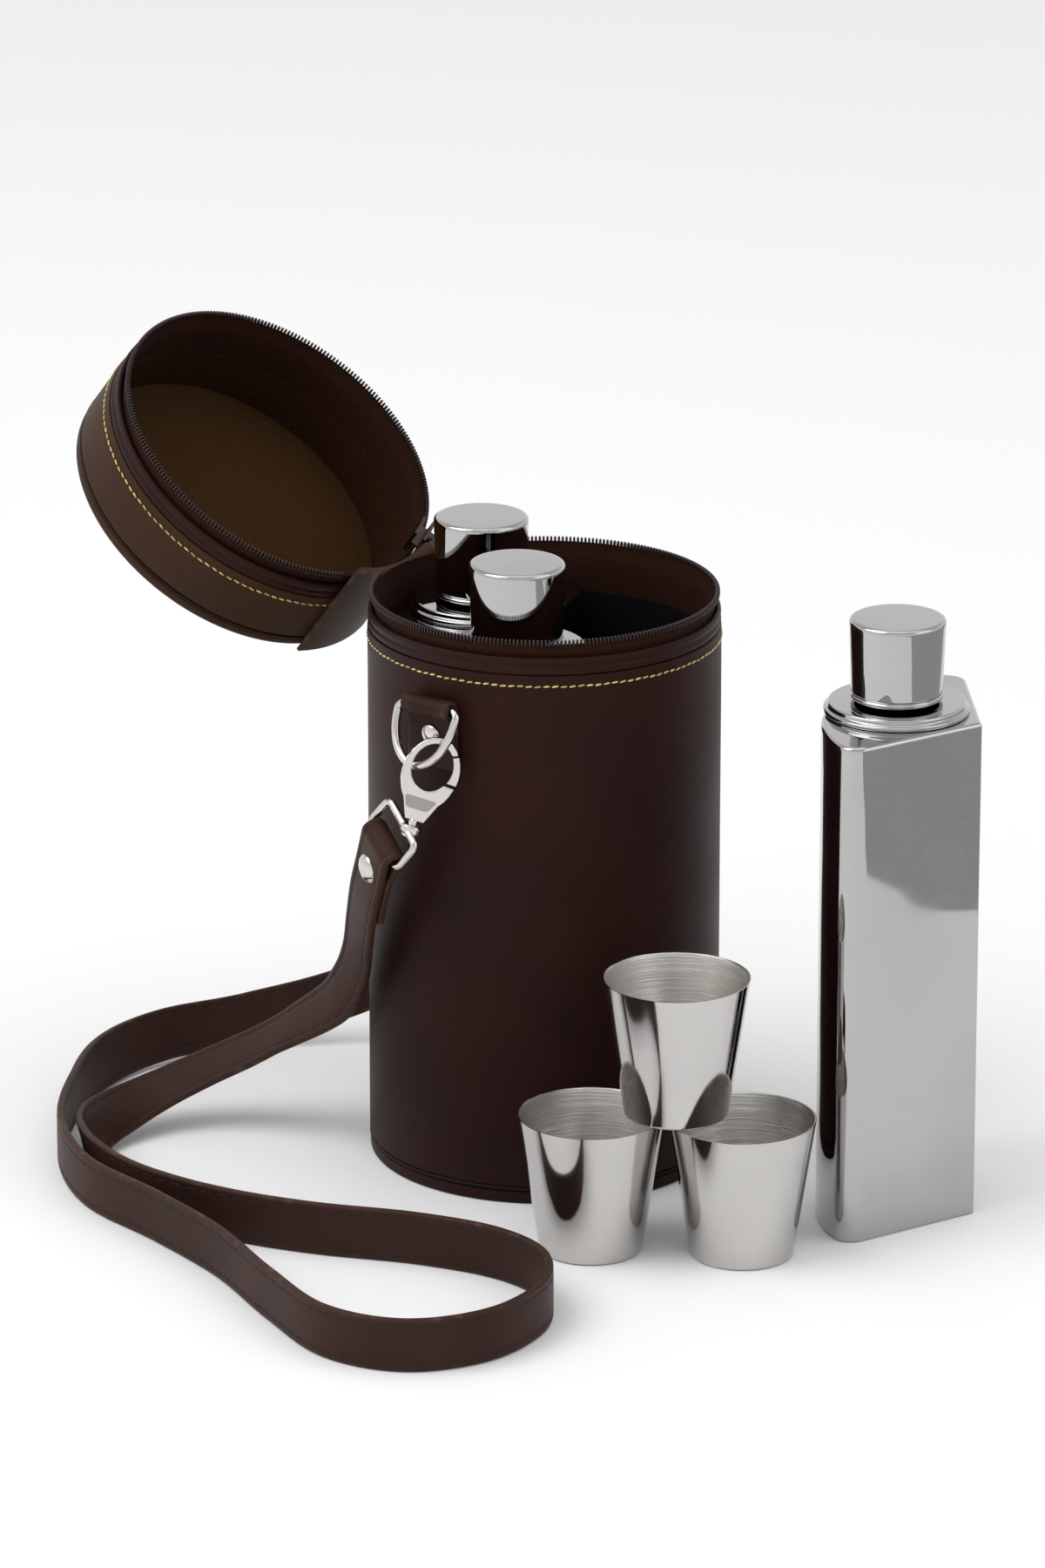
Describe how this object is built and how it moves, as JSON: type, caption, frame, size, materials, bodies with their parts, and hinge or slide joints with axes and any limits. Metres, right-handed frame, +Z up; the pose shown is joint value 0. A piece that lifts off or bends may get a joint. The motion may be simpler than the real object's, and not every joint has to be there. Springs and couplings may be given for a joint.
{
  "type": "canteen",
  "caption": "Zip-lidded leather cylinder case with a detachable shoulder strap, sector-shaped steel flasks with screw caps, and tapered steel cups.",
  "frame": {"origin": "centre of the case's underside, on the surface that the set stands on", "axes": "+Z up along the case axis; +Y towards the lid hinge; the strap's two D-rings are at -X and +X"},
  "size_m": [0.2977, 0.3552, 0.2797],
  "materials": {
    "leather_brown": "smooth dark brown hide with a low sheen",
    "leather_strap": "dark brown strap leather with dark stitching along both edges",
    "welt_leather": "thin dark leather piping",
    "fibre_board": "pressed fibre board core",
    "lining_fabric": "matt dark brown woven lining",
    "zip_tape": "herringbone zip tape",
    "zip_coil": "moulded nylon coil",
    "nickel": "bright nickel plate",
    "steel_polished": "mirror polished stainless steel outside, finely turned inside the cups",
    "seal_rubber": "pale food-grade silicone"
  },
  "bodies": {
    "case": {"case_base": "leather_brown", "case_welt": "welt_leather", "case_wrap": "leather_brown", "case_core": "fibre_board", "case_lining": "lining_fabric", "floor_board": "fibre_board", "floor_pad": "lining_fabric", "case_rim_band": "leather_brown", "case_zip_tape": "zip_tape", "case_zip_teeth": "zip_coil", "hinge_panel_case": "leather_brown", "strap_tab_left": "leather_brown", "tab_rivet_left": "nickel", "tab_rivet_back_left": "nickel", "swivel_eye_left": "nickel", "strap_rivet_left": "nickel", "strap_tab_right": "leather_brown", "tab_rivet_right": "nickel", "tab_rivet_back_right": "nickel", "swivel_eye_right": "nickel", "strap_rivet_right": "nickel", "strap": "leather_strap"},
    "lid": {"lid_top": "leather_brown", "lid_welt": "welt_leather", "lid_wrap": "leather_brown", "lid_core": "fibre_board", "lid_lining": "lining_fabric", "lid_board": "fibre_board", "lid_liner_disc": "lining_fabric", "lid_rim_band": "leather_brown", "lid_zip_tape": "zip_tape", "lid_zip_teeth": "zip_coil", "hinge_panel_lid": "leather_brown"},
    "zip_slider": {"zip_slider": "nickel"},
    "zip_pull": {"zip_pull": "leather_brown"},
    "d_ring_left": {"d_ring_left": "nickel"},
    "snap_left": {"snap_hook_left": "nickel"},
    "gate_left": {"snap_gate_left": "nickel"},
    "d_ring_right": {"d_ring_right": "nickel"},
    "snap_right": {"snap_hook_right": "nickel"},
    "gate_right": {"snap_gate_right": "nickel"},
    "flask_1": {"flask_1_body": "steel_polished", "flask_1_base": "steel_polished", "flask_1_collar": "steel_polished"},
    "seal_1": {"flask_1_seal": "seal_rubber"},
    "cap_1": {"flask_1_cap": "steel_polished"},
    "flask_2": {"flask_2_body": "steel_polished", "flask_2_base": "steel_polished", "flask_2_collar": "steel_polished"},
    "seal_2": {"flask_2_seal": "seal_rubber"},
    "cap_2": {"flask_2_cap": "steel_polished"},
    "flask_3": {"flask_3_body": "steel_polished", "flask_3_base": "steel_polished", "flask_3_collar": "steel_polished"},
    "seal_3": {"flask_3_seal": "seal_rubber"},
    "cap_3": {"flask_3_cap": "steel_polished"},
    "cup_left": {"cup_left": "steel_polished"},
    "cup_right": {"cup_right": "steel_polished"},
    "cup_top": {"cup_top": "steel_polished"}
  },
  "joints": [
    {"name": "lid_hinge", "type": "hinge", "parent": "case", "child": "lid", "pos_m": [0, 0.065, 0.2047], "axis": [-1, 0, 0], "range_deg": [-141.4, 34]},
    {"name": "zip_run", "type": "hinge", "parent": "lid", "child": "zip_slider", "pos_m": [0, 0.11873, 0.24158], "axis": [0, -0.6239, 0.7815], "range_deg": [0, 280]},
    {"name": "pull_swing", "type": "hinge", "parent": "zip_slider", "child": "zip_pull", "pos_m": [0.02726, 0.07305, 0.20511], "axis": [0, 0.6239, -0.7815], "range_deg": [-32, 65]},
    {"name": "d_ring_left_swing", "type": "hinge", "parent": "case", "child": "d_ring_left", "pos_m": [-0.0667, 0, 0.1823], "axis": [0, 1, 0], "range_deg": [-0.5, 0.5]},
    {"name": "snap_left_swivel", "type": "hinge", "parent": "case", "child": "snap_left", "pos_m": [-0.0783, -0.0023, 0.1441], "axis": [0.2799, -0.1969, 0.9396], "range_deg": [-1, 6]},
    {"name": "gate_left_trigger", "type": "hinge", "parent": "snap_left", "child": "gate_left", "pos_m": [-0.06864, -0.01105, 0.15791], "axis": [-0.724, -0.686, 0.072], "range_deg": [0, 8], "stiffness_Nm_per_rad": 0.02, "springref_deg": -5.73},
    {"name": "d_ring_right_swing", "type": "hinge", "parent": "case", "child": "d_ring_right", "pos_m": [0.0667, 0, 0.1823], "axis": [0, -1, 0], "range_deg": [-0.5, 0.5]},
    {"name": "snap_right_swivel", "type": "hinge", "parent": "case", "child": "snap_right", "pos_m": [0.0783, -0.0023, 0.1441], "axis": [0.2799, 0.1969, -0.9396], "range_deg": [-1, 6]},
    {"name": "gate_right_trigger", "type": "hinge", "parent": "snap_right", "child": "gate_right", "pos_m": [0.06864, -0.01105, 0.15791], "axis": [-0.724, 0.686, -0.072], "range_deg": [0, 8], "stiffness_Nm_per_rad": 0.02, "springref_deg": -5.73},
    {"name": "flask_1_lift", "type": "slide", "parent": "case", "child": "flask_1", "axis": [0, 0, 1], "range_m": [0, 0.23]},
    {"name": "cap_1_lift", "type": "slide", "parent": "flask_1", "child": "seal_1", "axis": [0, 0, 1], "range_m": [0, 0.03]},
    {"name": "cap_1_turn", "type": "hinge", "parent": "seal_1", "child": "cap_1", "pos_m": [-0.0308, -0.01127, 0.2121], "axis": [0, 0, 1], "range_deg": [0, 1351]},
    {"name": "flask_2_lift", "type": "slide", "parent": "case", "child": "flask_2", "axis": [0, 0, 1], "range_m": [0, 0.23]},
    {"name": "cap_2_lift", "type": "slide", "parent": "flask_2", "child": "seal_2", "axis": [0, 0, 1], "range_m": [0, 0.03]},
    {"name": "cap_2_turn", "type": "hinge", "parent": "seal_2", "child": "cap_2", "pos_m": [0.00564, 0.03231, 0.2121], "axis": [0, 0, 1], "range_deg": [0, 1351]},
    {"name": "flask_3_lift", "type": "slide", "parent": "case", "child": "flask_3", "axis": [0, 0, 1], "range_m": [0, 0.1]},
    {"name": "cap_3_lift", "type": "slide", "parent": "flask_3", "child": "seal_3", "axis": [0, 0, 1], "range_m": [0, 0.03]},
    {"name": "cap_3_turn", "type": "hinge", "parent": "seal_3", "child": "cap_3", "pos_m": [0.0287, -0.1315, 0.2], "axis": [0, 0, 1], "range_deg": [0, 1351]},
    {"name": "cup_left_move", "type": "slide", "parent": "case", "child": "cup_left", "axis": [-0.5309, 0.8475, 0], "range_m": [0, 0.012]},
    {"name": "cup_right_move", "type": "slide", "parent": "case", "child": "cup_right", "axis": [-0.8, -0.6, 0], "range_m": [0, 0.012]},
    {"name": "cup_top_move", "type": "slide", "parent": "case", "child": "cup_top", "axis": [0, 0, 1], "range_m": [0, 0.1]}
  ],
  "couplings": [
    {"joint": "cap_1_turn", "follows": "cap_1_lift", "rad_per_m": 785.4},
    {"joint": "cap_2_turn", "follows": "cap_2_lift", "rad_per_m": 785.4},
    {"joint": "cap_3_turn", "follows": "cap_3_lift", "rad_per_m": 785.4}
  ]
}
